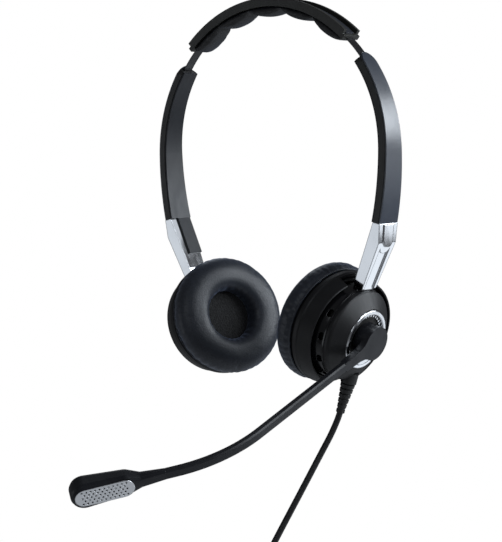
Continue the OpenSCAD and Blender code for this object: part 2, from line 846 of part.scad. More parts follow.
// Four-pole jack pin: three bands, the tip, and an insulator between each
pin_bottom = plug_top - plug_length;
pin_length = 14;
groove_places = [3.4, 6.2, 9];
groove_width = 0.7;
groove_depth = 0.25;
module plug_pin() color(gold) translate([hank_x, hank_y, pin_bottom]) mirror([0, 0, 1])
  difference() {
    union() {
      translate([0, 0, -3]) cylinder(h = 4, r = jack_root);
      cylinder(h = 10.9, r = jack_radius);
      translate([0, 0, 10.9]) cylinder(h = 0.9, r1 = jack_radius, r2 = 1.2);
      translate([0, 0, 11.8]) cylinder(h = 0.7, r1 = 1.2, r2 = 1.6);
      translate([0, 0, 12.5]) cylinder(h = pin_length - 12.5, r1 = 1.6, r2 = 0.6);
    }
    for (z = groove_places) translate([0, 0, z]) groove_ring();
  }

module groove_ring() {
  difference() {
    cylinder(h = groove_width, r = jack_radius + skin);
    translate([0, 0, -1]) cylinder(h = 3, r = jack_radius - groove_depth);
  }
}

module plug_insulators() color(black) translate([hank_x, hank_y, pin_bottom]) mirror([0, 0, 1])
  for (z = groove_places) translate([0, 0, z]) difference() {
    cylinder(h = groove_width, r = jack_radius);
    translate([0, 0, -1]) cylinder(h = 3, r = jack_radius - groove_depth);
  }

// ---------- the pieces, one by one ----------

module left_arm_frame() color(olive) arm_frame(1);
module left_arm_cover() color(satin) arm_cover(1);
module left_arm_liner() color(satin) arm_liner(1);
module left_yoke() yoke(1);
module left_yoke_screws() yoke_screws(1);
module left_hub_housing() hub_housing(1);
module left_hub_cap() hub_cap(1);
module left_hub_bowl() hub_bowl(1);
module left_gimbal_ring() gimbal_ring(1);
module left_dish() dish(1);
module left_baffle() baffle(1);
module left_driver_frame() driver_frame(1);
module left_driver_magnet() driver_magnet(1);
module left_diaphragm() diaphragm(1);
module left_cushion_ring() cushion_ring(1);
module left_ear_cushion() ear_cushion(1);
module left_ear_mesh() ear_mesh(1);
module right_arm_frame() color(olive) arm_frame(-1);
module right_arm_cover() color(satin) arm_cover(-1);
module right_arm_liner() color(satin) arm_liner(-1);
module right_yoke() yoke(-1);
module right_yoke_screws() yoke_screws(-1);
module right_hub_housing() hub_housing(-1);
module right_hub_cap() hub_cap(-1);
module right_hub_bowl() hub_bowl(-1);
module right_gimbal_ring() gimbal_ring(-1);
module right_dish() dish(-1);
module right_baffle() baffle(-1);
module right_driver_frame() driver_frame(-1);
module right_driver_magnet() driver_magnet(-1);
module right_diaphragm() diaphragm(-1);
module right_cushion_ring() cushion_ring(-1);
module right_ear_cushion() ear_cushion(-1);
module right_ear_mesh() ear_mesh(-1);

spring_band();
band_stops();
crown_cover();
crown_inlay();
crown_pad();
left_arm_frame();
left_arm_cover();
left_arm_liner();
left_yoke();
left_yoke_screws();
left_hub_housing();
left_hub_cap();
left_hub_bowl();
left_gimbal_ring();
left_dish();
left_baffle();
left_driver_frame();
left_driver_magnet();
left_diaphragm();
left_cushion_ring();
left_ear_cushion();
left_ear_mesh();
right_arm_frame();
right_arm_cover();
right_arm_liner();
right_yoke();
right_yoke_screws();
right_hub_housing();
right_hub_cap();
right_hub_bowl();
right_gimbal_ring();
right_dish();
right_baffle();
right_driver_frame();
right_driver_magnet();
right_diaphragm();
right_cushion_ring();
right_ear_cushion();
right_ear_mesh();
chrome_ring();
detent_ring();
boom_disc();
boom_arm();
boom_clip();
mic_housing();
mic_grille();
mic_capsule();
mic_foam();
wiring_board();
strain_relief();
cord();
cord_hank();
hank_tie();
cord_tail();
plug_body();
plug_pin();
plug_insulators();
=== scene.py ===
"""Looks of the corded office headset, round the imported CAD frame. Metres, +Z up, the wearer faces -Y."""

import json
import math
import random

import bmesh
import bpy
import numpy as np
from mathutils import Matrix, Vector


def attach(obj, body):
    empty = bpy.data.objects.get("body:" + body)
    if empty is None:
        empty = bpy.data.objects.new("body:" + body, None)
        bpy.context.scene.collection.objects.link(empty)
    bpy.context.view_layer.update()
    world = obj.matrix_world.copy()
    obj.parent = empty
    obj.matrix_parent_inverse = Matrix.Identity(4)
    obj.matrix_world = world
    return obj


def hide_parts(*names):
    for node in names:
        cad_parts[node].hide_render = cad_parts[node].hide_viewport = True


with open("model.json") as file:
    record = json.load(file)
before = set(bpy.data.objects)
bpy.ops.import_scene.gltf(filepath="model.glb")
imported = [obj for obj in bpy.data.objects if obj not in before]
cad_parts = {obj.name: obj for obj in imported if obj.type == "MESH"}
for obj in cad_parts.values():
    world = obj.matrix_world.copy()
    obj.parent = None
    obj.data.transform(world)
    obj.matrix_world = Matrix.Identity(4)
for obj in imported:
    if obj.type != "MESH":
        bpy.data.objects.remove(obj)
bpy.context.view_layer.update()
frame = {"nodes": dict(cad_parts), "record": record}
NODES = frame["nodes"]
MM = 0.001
SEED = 11

# ---------------------------------------------------------------- camera

AZIMUTH, ELEVATION, ROLL = (math.radians(a) for a in (40.678, 4.751, -1.426))
CAMERA_TARGET = Vector((0, -0.019, 0.02225))
CAMERA_DISTANCE = 0.700
CAMERA_LENS = 97.42
CAMERA_SENSOR = 36
CAMERA_NEAR, CAMERA_FAR = 0.05, 20


def make_camera():
    back = Vector((
        math.sin(AZIMUTH) * math.cos(ELEVATION),
        -math.cos(AZIMUTH) * math.cos(ELEVATION),
        math.sin(ELEVATION),
    ))
    flat_right = Vector((math.cos(AZIMUTH), math.sin(AZIMUTH), 0))
    flat_up = back.cross(flat_right)
    right = math.cos(ROLL) * flat_right + math.sin(ROLL) * flat_up
    up = math.cos(ROLL) * flat_up - math.sin(ROLL) * flat_right
    data = bpy.data.cameras.new("camera")
    data.lens = CAMERA_LENS
    data.sensor_width = CAMERA_SENSOR
    data.clip_start = CAMERA_NEAR
    data.clip_end = CAMERA_FAR
    cam = bpy.data.objects.new("camera", data)
    bpy.context.scene.collection.objects.link(cam)
    turn = Matrix((right, up, back)).transposed().to_4x4()
    cam.matrix_world = Matrix.Translation(CAMERA_TARGET + CAMERA_DISTANCE * back) @ turn
    bpy.context.scene.camera = cam


make_camera()

# ---------------------------------------------------------------- material nodes


class Maker:
    """A material with its node tree; each method adds nodes and returns a socket."""

    def __init__(self, name):
        self.material = bpy.data.materials.new(name)
        self.material.use_nodes = True
        self.tree = self.material.node_tree
        self.shader = self.tree.nodes["Principled BSDF"]
        self.coords = self.tree.nodes.new("ShaderNodeTexCoord").outputs["Object"]

    def add(self, kind, **values):
        node = self.tree.nodes.new(kind)
        for key, value in values.items():
            setattr(node, key, value)
        return node

    def link(self, source, target):
        self.tree.links.new(source, target)

    def noise(self, scale, detail=4.0, roughness=0.55, stretch=None):
        node = self.add("ShaderNodeTexNoise")
        node.inputs["Scale"].default_value = scale
        node.inputs["Detail"].default_value = detail
        node.inputs["Roughness"].default_value = roughness
        self.link(self.stretched(stretch), node.inputs["Vector"])
        return node.outputs["Fac"]

    def stretched(self, stretch):
        if stretch is None:
            return self.coords
        mapping = self.add("ShaderNodeMapping")
        mapping.inputs["Scale"].default_value = stretch
        self.link(self.coords, mapping.inputs["Vector"])
        return mapping.outputs["Vector"]

    def cells(self, scale, feature="F1"):
        node = self.add("ShaderNodeTexVoronoi", feature=feature)
        node.inputs["Scale"].default_value = scale
        self.link(self.coords, node.inputs["Vector"])
        return node.outputs["Distance"]

    def ramp(self, source, stops):
        node = self.add("ShaderNodeValToRGB")
        ramp = node.color_ramp
        ramp.elements[0].position, ramp.elements[0].color = stops[0][0], (*stops[0][1], 1)
        ramp.elements[1].position, ramp.elements[1].color = stops[-1][0], (*stops[-1][1], 1)
        for place, colour in stops[1:-1]:
            ramp.elements.new(place).color = (*colour, 1)
        self.link(source, node.inputs["Fac"])
        return node.outputs["Color"]

    def span(self, source, low, high, start=0.3, end=0.7):
        node = self.add("ShaderNodeMapRange")
        for key, value in (("From Min", start), ("From Max", end), ("To Min", low), ("To Max", high)):
            node.inputs[key].default_value = value
        self.link(source, node.inputs["Value"])
        return node.outputs["Result"]

    def maths(self, operation, a, b):
        node = self.add("ShaderNodeMath", operation=operation)
        for socket, value in zip(node.inputs, (a, b)):
            if isinstance(value, (int, float)):
                socket.default_value = value
            else:
                self.link(value, socket)
        return node.outputs["Value"]

    def colour(self, source):
        self.link(source, self.shader.inputs["Base Color"])

    def rough(self, source):
        self.link(source, self.shader.inputs["Roughness"])

    def bump(self, *layers, edge=0.0):
        """Layers are (height socket, depth in metres); edge rounds the corners by that radius."""
        normal = None
        if edge:
            bevel = self.add("ShaderNodeBevel", samples=6)
            bevel.inputs["Radius"].default_value = edge
            normal = bevel.outputs["Normal"]
        for height, depth in layers:
            node = self.add("ShaderNodeBump")
            node.inputs["Strength"].default_value = 1.0
            node.inputs["Distance"].default_value = depth
            self.link(height, node.inputs["Height"])
            if normal is not None:
                self.link(normal, node.inputs["Normal"])
            normal = node.outputs["Normal"]
        if normal is not None:
            self.link(normal, self.shader.inputs["Normal"])

    def set(self, **values):
        for key, value in values.items():
            self.shader.inputs[key.replace("_", " ")].default_value = value


def moulded(name, dark, light, rough, grain=1800.0, depth=0.00002, edge=0.00025, spec=0.5):
    """Injection-moulded plastic with a fine spark-eroded grain and slight handling marks."""
    m = Maker(name)
    broad = m.noise(55.0, 3.0)
    fine = m.noise(grain, 2.0, 0.5)
    m.colour(m.ramp(broad, [(0.3, dark), (0.7, light)]))
    smears = m.noise(160.0, 5.0, 0.65, (1, 1, 0.35))
    m.rough(m.span(smears, rough[0], rough[1]))
    m.bump((fine, depth), edge=edge)
    m.set(Specular_IOR_Level=spec)
    return m


def chrome(name):
    """Plating with slow waves along it, from the moulding underneath."""
    m = Maker(name)
    tint = (0.66, 0.67, 0.69)
    broad = m.noise(70.0, 3.0)
    m.colour(m.ramp(broad, [(0.3, tuple(0.94 * c for c in tint)), (0.7, tint)]))
    m.rough(m.span(m.noise(420.0, 4.0, 0.6, (1, 1, 0.2)), 0.05, 0.12))
    m.bump((m.noise(60.0, 2.0, 0.5, (1, 1, 0.15)), 0.0003), edge=0.0006)
    m.set(Metallic=1.0)
    return m


def steel(name, dark, light, rough=(0.2, 0.4)):
    """Drawn or turned metal with fine lines."""
    m = Maker(name)
    lines = m.noise(2600.0, 2.0, 0.5, (0.15, 3.0, 0.15))
    m.colour(m.ramp(lines, [(0.25, dark), (0.75, light)]))
    m.rough(m.span(lines, rough[0], rough[1]))
    m.bump((lines, 0.00001), edge=0.00015)
    m.set(Metallic=1.0)
    return m


def leatherette(name, dark, light, rough, sheen):
    """Soft protein leather: small pebbles with painted shade in the creases between them, finer pores, and a
    faint blue sheen.
    """
    m = Maker(name)
    pebbles = m.cells(1500.0, "SMOOTH_F1")
    pores = m.noise(5200.0, 2.0, 0.6)
    broad = m.noise(60.0, 4.0, 0.6)
    # The broad term is tone that varies at random; the pebble term darkens each pebble towards its edge,
    # into the creases the bump cuts, as painted shade
    mottled_and_crease_shade = m.maths("MULTIPLY", m.span(broad, 0.75, 1.0), m.span(pebbles, 1.0, 0.6, 0.1, 0.8))
    m.colour(m.ramp(mottled_and_crease_shade, [(0.35, dark), (0.95, light)]))
    m.rough(m.span(pebbles, rough[0], rough[1], 0.1, 0.8))
    m.bump((broad, 0.00010), (pebbles, -0.00007), (pores, 0.00002))
    m.set(Sheen_Weight=sheen, Sheen_Roughness=0.4, Specular_IOR_Level=0.45)
    m.shader.inputs["Sheen Tint"].default_value = (0.55, 0.68, 1.0, 1.0)
    return m


def woven(name, dark, light, pitch):
    """Open knit: small round holes painted dark as painted shade, irregularly spaced, pitch metres apart on
    average.
    """
    m = Maker(name)
    holes = m.cells(1.0 / pitch)
    # The ramp paints the hole centres near black where the bump sinks them: painted shade in place of open
    # holes
    m.colour(m.ramp(holes, [(0.25, dark), (0.6, light)]))
    m.rough(m.span(m.noise(2400.0), 0.7, 0.95))
    m.bump((holes, 0.0003))
    m.set(Sheen_Weight=0.3)
    return m


def rubber(name, dark, light, rough=(0.45, 0.62)):
    """Soft moulded rubber, even and slightly dull."""
    m = Maker(name)
    broad = m.noise(90.0, 3.0)
    m.colour(m.ramp(broad, [(0.3, dark), (0.7, light)]))
    m.rough(m.span(m.noise(700.0, 4.0, 0.6), rough[0], rough[1]))
    m.bump((m.noise(2600.0, 2.0), 0.000015), edge=0.00015)
    return m


MATERIALS = {
    "spring_steel": steel("spring_steel", (0.05, 0.05, 0.052), (0.10, 0.10, 0.105), (0.28, 0.42)),
    "crown_plastic": moulded("crown_plastic", (0.016, 0.016, 0.014), (0.026, 0.026, 0.023), (0.34, 0.48)),
    "crown_inlay": rubber("crown_inlay", (0.010, 0.012, 0.018), (0.018, 0.021, 0.030), (0.4, 0.55)),
    "pad_foam": leatherette("pad_foam", (0.006, 0.006, 0.007), (0.018, 0.018, 0.019), (0.4, 0.58), 0.1),
    "arm_edge": moulded("arm_edge", (0.012, 0.012, 0.012), (0.020, 0.020, 0.019), (0.36, 0.5)),
    "arm_satin": moulded("arm_satin", (0.026, 0.032, 0.046), (0.036, 0.044, 0.062), (0.28, 0.36), spec=0.8),
    "arm_inner": moulded("arm_inner", (0.007, 0.008, 0.011), (0.013, 0.015, 0.020), (0.36, 0.48), spec=0.35),
    "chrome": chrome("chrome"),
    "screw_steel": steel("screw_steel", (0.3, 0.3, 0.31), (0.5, 0.5, 0.52)),
    "inner_plastic": moulded("inner_plastic", (0.004, 0.004, 0.004), (0.009, 0.009, 0.009), (0.5, 0.65)),
    "matte_black": moulded(
        "matte_black", (0.006, 0.006, 0.007), (0.011, 0.011, 0.012), (0.38, 0.48), spec=0.32
    ),
    "gloss_black": moulded(
        "gloss_black", (0.003, 0.003, 0.0035), (0.006, 0.006, 0.007), (0.12, 0.2), 900.0, 0.000004
    ),
    "ring_metal": steel("ring_metal", (0.12, 0.12, 0.125), (0.22, 0.22, 0.23)),
    "film": moulded("film", (0.20, 0.12, 0.05), (0.30, 0.2, 0.09), (0.25, 0.35)),
    "leatherette": leatherette(
        "leatherette", (0.007, 0.009, 0.013), (0.024, 0.028, 0.038), (0.36, 0.48), 0.28
    ),
    # The knit is black, and these colours are set darker still as painted shade for the deep ear hole
    "mesh_fabric": woven("mesh_fabric", (0.001, 0.001, 0.001), (0.010, 0.010, 0.011), 0.0009),
    "boom_plastic": moulded(
        "boom_plastic", (0.006, 0.0065, 0.009), (0.011, 0.012, 0.015), (0.34, 0.46), spec=0.32
    ),
    "board": moulded("board", (0.01, 0.09, 0.03), (0.02, 0.13, 0.05), (0.3, 0.45)),
    "soft_rubber": rubber("soft_rubber", (0.007, 0.007, 0.007), (0.014, 0.014, 0.014)),
    "cord_rubber": rubber("cord_rubber", (0.006, 0.006, 0.007), (0.012, 0.012, 0.013), (0.34, 0.48)),
    "plug_plastic": moulded("plug_plastic", (0.009, 0.009, 0.009), (0.015, 0.015, 0.015), (0.3, 0.45)),
    "plug_gold": steel("plug_gold", (0.55, 0.40, 0.15), (0.75, 0.58, 0.25), (0.12, 0.22)),
}

SLOT_OF = {s["node"]: s["material_slot"] for s in frame["record"]["subparts"]}


def paint(obj, slot):
    obj.data.materials.clear()
    obj.data.materials.append(MATERIALS[slot].material)


for node_name, obj in NODES.items():
    paint(obj, SLOT_OF[node_name])

# ---------------------------------------------------------------- places

HUB_TILT = math.radians(17)
HUB_CENTRE = Vector((38.3, 0, -4.8)) * MM
SWIVEL = {"left": math.radians(8), "right": math.radians(17)}


def hub_matrix(side):
    """Local +Z outwards along the hub axis, +X down, +Y backwards; the right side is the mirror image."""
    place = Matrix.Translation(HUB_CENTRE) @ Matrix.Rotation(math.pi / 2 + HUB_TILT, 4, "Y")
    if side == "right":
        place = Matrix.Scale(-1, 4, (1, 0, 0)) @ place
    return place


def cup_matrix(side):
    sign = 1 if side == "left" else -1
    return hub_matrix(side) @ Matrix.Rotation(sign * SWIVEL[side], 4, "X")


# ---------------------------------------------------------------- mesh helpers


def smooth_curve(points, steps):
    """Catmull-Rom curve through the points."""
    pts = [Vector(p) for p in points]
    out = []
    for i in range(len(pts) - 1):
        a, b = pts[max(0, i - 1)], pts[i]
        c, d = pts[i + 1], pts[min(len(pts) - 1, i + 2)]
        for k in range(steps):
            t = k / steps
            out.append(0.5 * (2 * b + (c - a) * t + (2 * a - 5 * b + 4 * c - d) * t * t
                              + (3 * b - a - 3 * c + d) * t ** 3))
    out.append(pts[-1])
    return out


def grid_mesh(name, rows, closed_rows=True, caps=False):
    """A mesh from rows of points; each row is a loop of the same length."""
    bm = bmesh.new()
    grid = [[bm.verts.new(p) for p in row] for row in rows]
    n, m = len(grid), len(grid[0])
    for i in range(n if closed_rows else n - 1):
        for j in range(m):
            a, b = grid[i], grid[(i + 1) % n]
            bm.faces.new((a[j], b[j], b[(j + 1) % m], a[(j + 1) % m]))
    if caps:
        bm.faces.new(grid[0])
        bm.faces.new(grid[-1][::-1])
    bmesh.ops.recalc_face_normals(bm, faces=bm.faces)
    mesh = bpy.data.meshes.new(name)
    bm.to_mesh(mesh)
    bm.free()
    mesh.polygons.foreach_set("use_smooth", [True] * len(mesh.polygons))
    obj = bpy.data.objects.new(name, mesh)
    bpy.context.scene.collection.objects.link(obj)
    return obj


def squared_circle(angle, power_x, power_y):
    """A point of the unit circle; a power under 1 pushes that direction out towards a square."""
    x, y = math.cos(angle), math.sin(angle)
    return math.copysign(abs(x) ** power_x, x), math.copysign(abs(y) ** power_y, y)


def revolve(name, profile, turns):
    """Closed profile of (radius, height) in mm, turned about Z."""
    rows = []
    for i in range(turns):
        a = 2 * math.pi * i / turns
        row = [Vector((radius * math.cos(a), radius * math.sin(a), height)) for radius, height in profile]
        rows.append(row)
    return grid_mesh(name, rows)


# The cloth is simulated at this many times its real size
SIM_SCALE = 10.0
SIM_FRAMES = 20


def inflate(obj, pinned, cap, pressure=4.0, shrink=-0.03):
    """Swells a closed mesh, given in mm, as pressurised cloth; a point moves at most cap mm."""
    rest = np.zeros(len(obj.data.vertices) * 3)
    obj.data.vertices.foreach_get("co", rest)
    rest = rest.reshape(-1, 3)
    unit = MM * SIM_SCALE
    obj.data.vertices.foreach_set("co", (rest * unit).ravel())
    group = obj.vertex_groups.new(name="pin")
    group.add([int(i) for i in pinned], 1.0, "REPLACE")
    cloth = obj.modifiers.new("cloth", "CLOTH")
    settings = cloth.settings
    settings.quality = 5
    settings.mass = 0.3
    settings.use_pressure = True
    settings.uniform_pressure_force = pressure
    settings.shrink_min = shrink
    settings.tension_stiffness = 15
    settings.compression_stiffness = 15
    settings.bending_stiffness = 0.5
    settings.vertex_group_mass = "pin"
    settings.effector_weights.gravity = 0
    cloth.point_cache.frame_start = 1
    cloth.point_cache.frame_end = SIM_FRAMES
    scene = bpy.context.scene
    for f in range(1, SIM_FRAMES + 1):
        scene.frame_set(f)
    ready = obj.evaluated_get(bpy.context.evaluated_depsgraph_get())
    moved = np.zeros(len(rest) * 3)
    ready.data.vertices.foreach_get("co", moved)
    moved = moved.reshape(-1, 3) / unit
    step = moved - rest
    size = np.maximum(np.linalg.norm(step, axis=1), 1e-9)
    step *= np.minimum(1.0, cap / size)[:, None]
    obj.modifiers.remove(cloth)
    obj.vertex_groups.remove(group)
    obj.data.vertices.foreach_set("co", (rest + step).ravel())
    obj.data.update()
    scene.frame_set(1)


def reshape(obj, change):
    """change takes and returns an N by 3 array."""
    co = np.zeros(len(obj.data.vertices) * 3)
    obj.data.vertices.foreach_get("co", co)
    obj.data.vertices.foreach_set("co", change(co.reshape(-1, 3)).ravel())
    obj.data.update()


def subdivide(obj):
    mod = obj.modifiers.new("subdivision", "SUBSURF")
    mod.levels = 1
    mod.render_levels = 1


# ---------------------------------------------------------------- ear cushions

# Outline of the soft ring: up the throat, over the face and down the side wall to the seam
CUSHION_OUTLINE = [
    (13.3, -6.3), (12.5, -7.2), (12.15, -8.8), (12.1, -10.6), (12.6, -12.8), (13.9, -14.6), (16.2, -15.7),
    (19.4, -16.0), (22.6, -15.9), (25.4, -14.9), (27.5, -13.0), (28.45, -10.6), (28.45, -8.2), (28.2, -6.4),
    (27.9, -5.2),
]
CUSHION_BACK = [(27.2, -5.0), (27.0, -9.3), (22.0, -9.35), (16.4, -9.35), (14.9, -8.5), (13.4, -8.45)]
CUSHION_TURNS = 200
SEAM_HEIGHT = -5.0
CUSHION_SWELL = 0.7
PLEATS = 46
PLEAT_DEPTH = 0.5
# The pleats lie on the side wall: outside this radius, and fading out towards the face
WALL_RADIUS, WALL_FADE = 27.3, 0.9
WALL_FACE_EDGE, WALL_FACE_FADE = -14.5, 6.0
SEAM_FADE = 0.5
# The throat, where the cover turns inwards, has fine wrinkles
THROAT_RADIUS, THROAT_FADE = 16.0, 3.0
THROAT_EDGE, THROAT_EDGE_FADE = -7.4, 1.2
WRINKLES = 23
WRINKLE_DEPTH = 0.14
# The face has broad, shallow dents
FACE_HEIGHT, FACE_FADE = -16, 1.8
FACE_DENTS = 5
FACE_DENT_DEPTH = 0.12
PIPING_RADIUS = 27.75
PIPING_THICK = 0.42


def fade(distance, length):
    """0 up to the edge, 1 from a length beyond it."""
    return np.clip(distance / length, 0, 1)


def cushion(side):
    """The ring's cover, swollen by its foam, with the side wall gathered into pleats."""
    outline = smooth_curve([(r, g, 0) for r, g in CUSHION_OUTLINE], 3)
    profile = [(p.x, p.y) for p in outline] + CUSHION_BACK
    obj = revolve(f"{side}_cushion_cover", profile, CUSHION_TURNS)
    per_turn = len(profile)
    fixed_places = [0, 1, 2] + list(range(len(outline) - 2, per_turn))
    pinned = [i * per_turn + j for i in range(CUSHION_TURNS) for j in fixed_places]
    inflate(obj, pinned, CUSHION_SWELL)
    rng = random.Random(SEED + len(side))
    # Each pleat's angle round the ring, its strength, and its half width in radians
    pleats = []
    for i in range(PLEATS):
        place = 2 * math.pi * (i + rng.uniform(-0.3, 0.3)) / PLEATS
        pleats.append((place, rng.uniform(0.5, 1.0), rng.uniform(0.02, 0.035)))

    def gather(co):
        radius = np.hypot(co[:, 0], co[:, 1])
        angle = np.arctan2(co[:, 1], co[:, 0])
        height = co[:, 2]
        depth = np.zeros(len(co))
        for place, strength, width in pleats:
            gap = (angle - place + math.pi) % (2 * math.pi) - math.pi
            depth += strength * np.exp(-(gap / width) ** 2)
        wall = fade(radius - WALL_RADIUS, WALL_FADE) * fade(height - WALL_FACE_EDGE, WALL_FACE_FADE)
        wall *= np.clip((SEAM_HEIGHT - height) / SEAM_FADE, 0.25, 1)
        throat = fade(THROAT_RADIUS - radius, THROAT_FADE) * fade(THROAT_EDGE - height, THROAT_EDGE_FADE)
        wrinkle = WRINKLE_DEPTH * np.sin(WRINKLES * angle + 2.0 * np.sin(3 * angle)) * throat
        near_face = np.exp(-((height - FACE_HEIGHT) / FACE_FADE) ** 2)
        dent = FACE_DENT_DEPTH * np.sin(FACE_DENTS * angle + 1.3) * near_face
        scale = (radius - PLEAT_DEPTH * depth * wall + wrinkle) / radius
        out = co.copy()
        out[:, 0] *= scale
        out[:, 1] *= scale
        out[:, 2] += dent
        place = np.array(cup_matrix(side))
        return out * MM @ place[:3, :3].T + place[:3, 3]

    reshape(obj, gather)
    if side == "right":
        obj.data.flip_normals()
    subdivide(obj)
    paint(obj, "leatherette")
    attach(obj, f"{side}_cup")
    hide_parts(f"{side}_ear_cushion")


def piping(side):
    """The thin bead along the cushion's seam, with a slight ripple."""
    place = cup_matrix(side) @ Matrix.Scale(MM, 4)
    height = SEAM_HEIGHT + 0.25
    turns, sides = 240, 10
    rows = []
    for i in range(turns):
        a = 2 * math.pi * i / turns
        row = []
        for k in range(sides):
            b = 2 * math.pi * k / sides
            radius = PIPING_RADIUS + 0.04 * math.sin(PLEATS * a) + PIPING_THICK * math.cos(b)
            up = height + PIPING_THICK * math.sin(b)
            row.append(place @ Vector((radius * math.cos(a), radius * math.sin(a), up)))
        rows.append(row)
    obj = grid_mesh(f"{side}_cushion_piping", rows)
    paint(obj, "leatherette")
    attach(obj, f"{side}_cup")


for side in ("left", "right"):
    cushion(side)
    piping(side)

# ---------------------------------------------------------------- crown pad

BAND_HEIGHT = 79.0
PAD_TOP = 68.78
PAD_START, PAD_END = math.radians(47.5), math.radians(132.5)
LOBES = 5
PAD_STEPS = 150
PAD_SIDES = 28
PAD_SWELL = 0.35
PAD_SQUARENESS = 0.72
# In the grooves between the lobes, and how much a lobe's middle adds
GROOVE_DEPTH, LOBE_DEPTH = 1.0, 3.1
GROOVE_HALF_WIDTH, LOBE_HALF_WIDTH = 4.6, 1.1
# The section grows from this share at either end to its full size, at this rate along the strip
END_SHARE, END_RATE = 0.35, 60


def crown_pad():
    """Five soft lobes in one moulded strip; each is deepest and widest in its middle."""
    rows = []
    for i in range(PAD_STEPS + 1):
        t = i / PAD_STEPS
        angle = PAD_START + (PAD_END - PAD_START) * t
        in_lobe = (t * LOBES) % 1.0 if i < PAD_STEPS else 1.0
        arch = max(0.0, 1 - (2 * in_lobe - 1) ** 2)
        depth = GROOVE_DEPTH + LOBE_DEPTH * arch ** 0.8
        half = GROOVE_HALF_WIDTH + LOBE_HALF_WIDTH * arch ** 0.5
        end = min(1.0, min(t, 1 - t) * END_RATE + END_SHARE)
        row = []
        for k in range(PAD_SIDES):
            x, y = squared_circle(2 * math.pi * k / PAD_SIDES, PAD_SQUARENESS, PAD_SQUARENESS)
            radius = PAD_TOP - (0.5 - 0.5 * y) * depth * end
            up = BAND_HEIGHT + radius * math.sin(angle)
            row.append(Vector((radius * math.cos(angle), half * x * end, up)))
        rows.append(row)
    obj = grid_mesh("crown_pad_cover", rows, closed_rows=False, caps=True)
    top = [v.index for v in obj.data.vertices
           if math.hypot(v.co.x, v.co.z - BAND_HEIGHT) > PAD_TOP - 0.5]
    inflate(obj, top, PAD_SWELL, pressure=3.0, shrink=-0.02)
    reshape(obj, lambda co: co * MM)
    subdivide(obj)
    paint(obj, "pad_foam")
    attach(obj, "headband")
    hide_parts("crown_pad")


crown_pad()

# ---------------------------------------------------------------- cord

CORD_DIAMETER = 3.0
RELIEF_TIP = (36.08, 1.961, -44.55)
CORD_ROUTE = [
    RELIEF_TIP, (34.6, 1, -49.5), (32.6, -1.8, -56.5), (30, -6.3, -65), (24.8, -15.3, -82),
    (19, -25, -100.5), (16.5, -29.3, -109), (14.5, -32.5, -118), (14, -34, -126),
]
HANK_X, HANK_Y, HANK_TOP = 14.0, -34.0, -132.5
HANK_LENGTH = 55.5
FOLD_RADIUS = 9.9
HANK_TURNS = 7
HANK_PITCH = 3.0
# The tie pulls the runs in by this share at the middle, fading over this height
WAIST_SHARE = 0.35
WAIST_SPREAD = 7.5
# Parts of a turn: where the cord joins the first turn, and where the tail leaves the last
FIRST_PART = 0.12
LAST_PART = 0.22
POINTS_PER_TURN = 48
TAIL_BOTTOM = -203.0


def racetrack(u):
    """Point (y, z) on the hank's outline after u turns, down the front run first."""
    straight = HANK_LENGTH - 2 * FOLD_RADIUS - CORD_DIAMETER
    fold = math.pi * FOLD_RADIUS
    s = (u % 1.0) * (2 * straight + 2 * fold)
    if s < straight:
        y, z = -FOLD_RADIUS, straight / 2 - s
    elif s < straight + fold:
        a = (s - straight) / FOLD_RADIUS
        y, z = -FOLD_RADIUS * math.cos(a), -straight / 2 - FOLD_RADIUS * math.sin(a)
    elif s < 2 * straight + fold:
        y, z = FOLD_RADIUS, -straight / 2 + (s - straight - fold)
    else:
        a = (s - 2 * straight - fold) / FOLD_RADIUS
        y, z = FOLD_RADIUS * math.cos(a), straight / 2 + FOLD_RADIUS * math.sin(a)
    waist = 1 - WAIST_SHARE * math.exp(-(z / WAIST_SPREAD) ** 2)
    return y * waist, z


def cord_points():
    """The whole cord: the hanging part, the hank's turns, and the tail into the plug."""
    middle = HANK_TOP - HANK_LENGTH / 2
    first = HANK_X + HANK_PITCH * (HANK_TURNS - 1) / 2
    begin, end = FIRST_PART, HANK_TURNS - 1 + LAST_PART
    turns = []
    count = int((end - begin) * POINTS_PER_TURN)
    for i in range(count + 1):
        u = begin + (end - begin) * i / count
        y, z = racetrack(u)
        turns.append((first - HANK_PITCH * u * (HANK_TURNS - 1) / end, HANK_Y + y, middle + z))
    bottom = HANK_TOP - HANK_LENGTH
    steps = 8
    # turns[2] and turns[-3] only steer the curves where they join, so the pieces next to them are cut off
    lead = smooth_curve(CORD_ROUTE + [
        (HANK_X + 3.2, HANK_Y - 0.8, HANK_TOP - 4.5), (first - 1.8, HANK_Y - 4.2, HANK_TOP - 13),
        turns[0], turns[2],
    ], steps)[:-steps]
    tail = smooth_curve([
        turns[-3], turns[-1],
        (turns[-1][0] + 2, HANK_Y - 4.6, bottom + 2), (HANK_X - 2.2, HANK_Y - 1, bottom - 6),
        (HANK_X, HANK_Y, bottom - 12), (HANK_X, HANK_Y, TAIL_BOTTOM),
    ], steps)[steps:]
    return [tuple(p) for p in lead[:-1]] + turns + [tuple(p) for p in tail[1:]]


def curve_object(name, points, radius):
    data = bpy.data.curves.new(name, "CURVE")
    data.dimensions = "3D"
    data.bevel_depth = radius
    data.bevel_resolution = 4
    data.use_fill_caps = True
    spline = data.splines.new("POLY")
    spline.points.add(len(points) - 1)
    for point, place in zip(spline.points, points):
        point.co = (*place, 1)
    spline.use_smooth = True
    obj = bpy.data.objects.new(name, data)
    bpy.context.scene.collection.objects.link(obj)
    return obj


cord_path = [tuple(MM * c for c in p) for p in cord_points()]
cord = curve_object("headset_cord", cord_path, CORD_DIAMETER / 2 * MM)
paint(cord, "cord_rubber")
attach(cord, "left_arm")
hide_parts("cord", "cord_hank", "cord_tail")


STRAP_HALF_X, STRAP_HALF_Y = 12.0, 8.7
# The strap's section: inset from its outer face, and height from its middle
STRAP_SECTION = [(0, -3.5), (0, 3.5), (0.35, 3.9), (0.9, 3.9), (0.9, -3.9), (0.35, -3.9)]
STRAP_SIDES = 64


